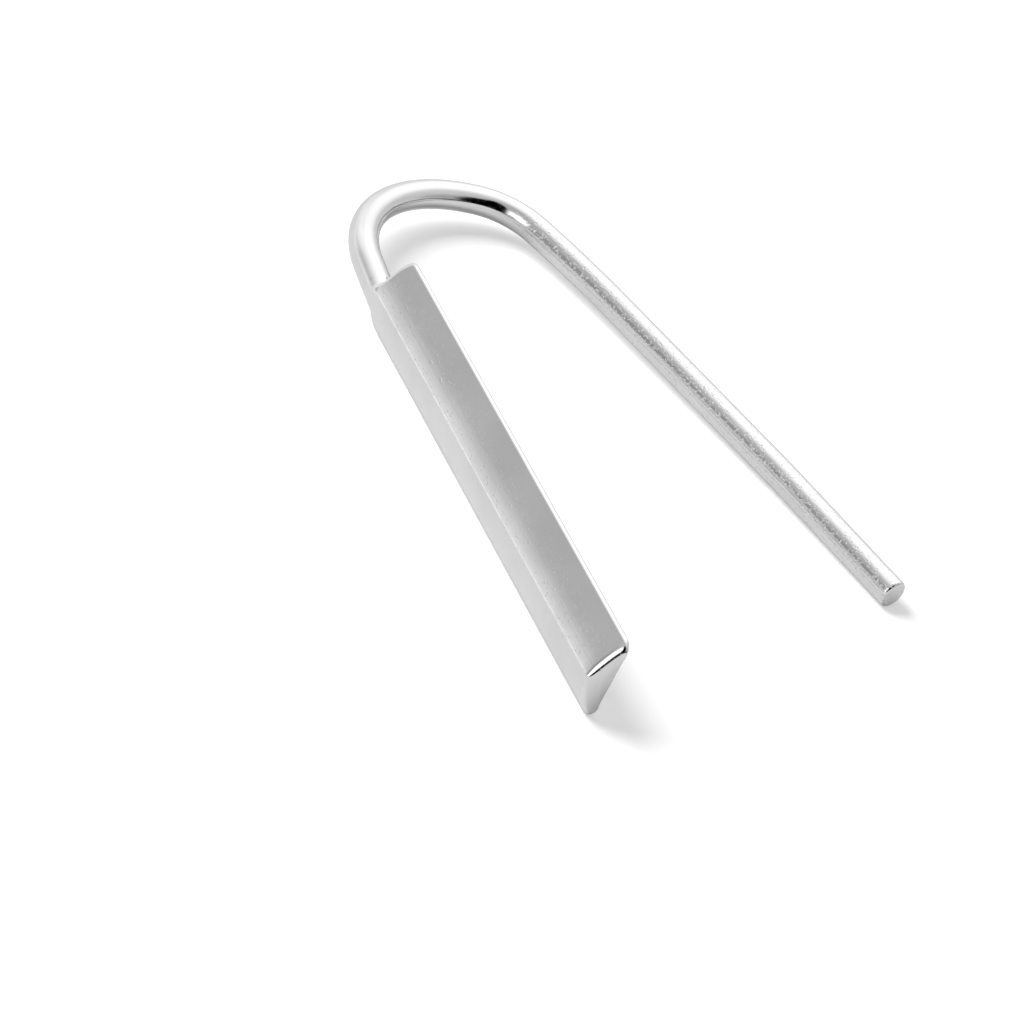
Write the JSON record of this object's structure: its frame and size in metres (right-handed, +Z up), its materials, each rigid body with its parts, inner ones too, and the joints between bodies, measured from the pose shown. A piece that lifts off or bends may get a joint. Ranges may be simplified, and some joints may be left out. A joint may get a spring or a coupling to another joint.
{
  "type": "bar earring",
  "caption": "Polished silver earring: a slim three-sided bar hangs in front of the lobe, and its one ear wire bends over and runs down behind.",
  "frame": {"origin": "on the surface that the earring lies on, under the middle of its bounding box", "axes": "+X along the bar, from its top end to its lower end; +Y from the bar to the ear wire; +Z up, off the surface"},
  "size_m": [0.0254, 0.0148, 0.0029],
  "materials": {
    "silver": "polished silver with a fine hand-rubbed grain"
  },
  "bodies": {
    "root": {"bar_earring": "silver"}
  },
  "joints": []
}
